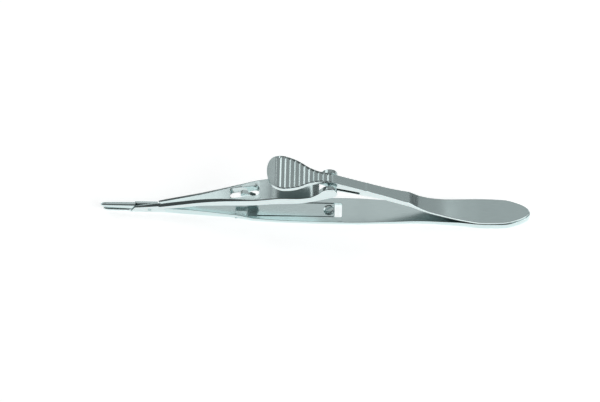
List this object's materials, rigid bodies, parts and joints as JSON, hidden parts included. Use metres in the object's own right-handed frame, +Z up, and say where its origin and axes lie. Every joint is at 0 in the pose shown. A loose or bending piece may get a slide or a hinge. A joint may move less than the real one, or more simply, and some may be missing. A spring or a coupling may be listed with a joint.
{
  "type": "surgical needle holder",
  "caption": "Slender spring-handled needle holder with serrated thumb rest, narrow grooved jaws, slotted jaw lever and a sliding catch that locks the jaws shut.",
  "frame": {"origin": "centre of the bounding box's base, on the surface the instrument lies on", "axes": "+X along the instrument from the jaws to the butt, +Y across it, +Z up from the lower handle to the thumb rest"},
  "size_m": [0.16, 0.0146, 0.0287],
  "materials": {
    "satin_steel": "satin",
    "bright_steel": "polished"
  },
  "bodies": {
    "lower_body": {"lower_handle": "satin_steel", "joint_pin": "bright_steel"},
    "lever_body": {"jaw_lever": "satin_steel", "fork_pin": "bright_steel"},
    "handle_body": {"upper_handle": "satin_steel", "thumb_rest": "satin_steel"},
    "catch_body": {"catch_slide": "satin_steel", "catch_screw": "bright_steel", "catch_button": "satin_steel"}
  },
  "joints": [
    {"name": "handle_squeeze", "type": "hinge", "parent": "lower_body", "child": "handle_body", "pos_m": [0.0502, 0, 0.0044], "axis": [0, -1, 0], "range_deg": [0, 5.24], "stiffness_Nm_per_rad": 3},
    {"name": "jaw_pivot", "type": "hinge", "parent": "lower_body", "child": "lever_body", "pos_m": [-0.0617, 0, 0.0022], "axis": [0, 1, 0], "range_deg": [0, 4]},
    {"name": "catch_slide", "type": "slide", "parent": "lower_body", "child": "catch_body", "axis": [-1, 0, 0], "range_m": [0, 0.0037]}
  ],
  "couplings": [
    {"joint": "jaw_pivot", "follows": "handle_squeeze", "ratio": 0.7625}
  ]
}
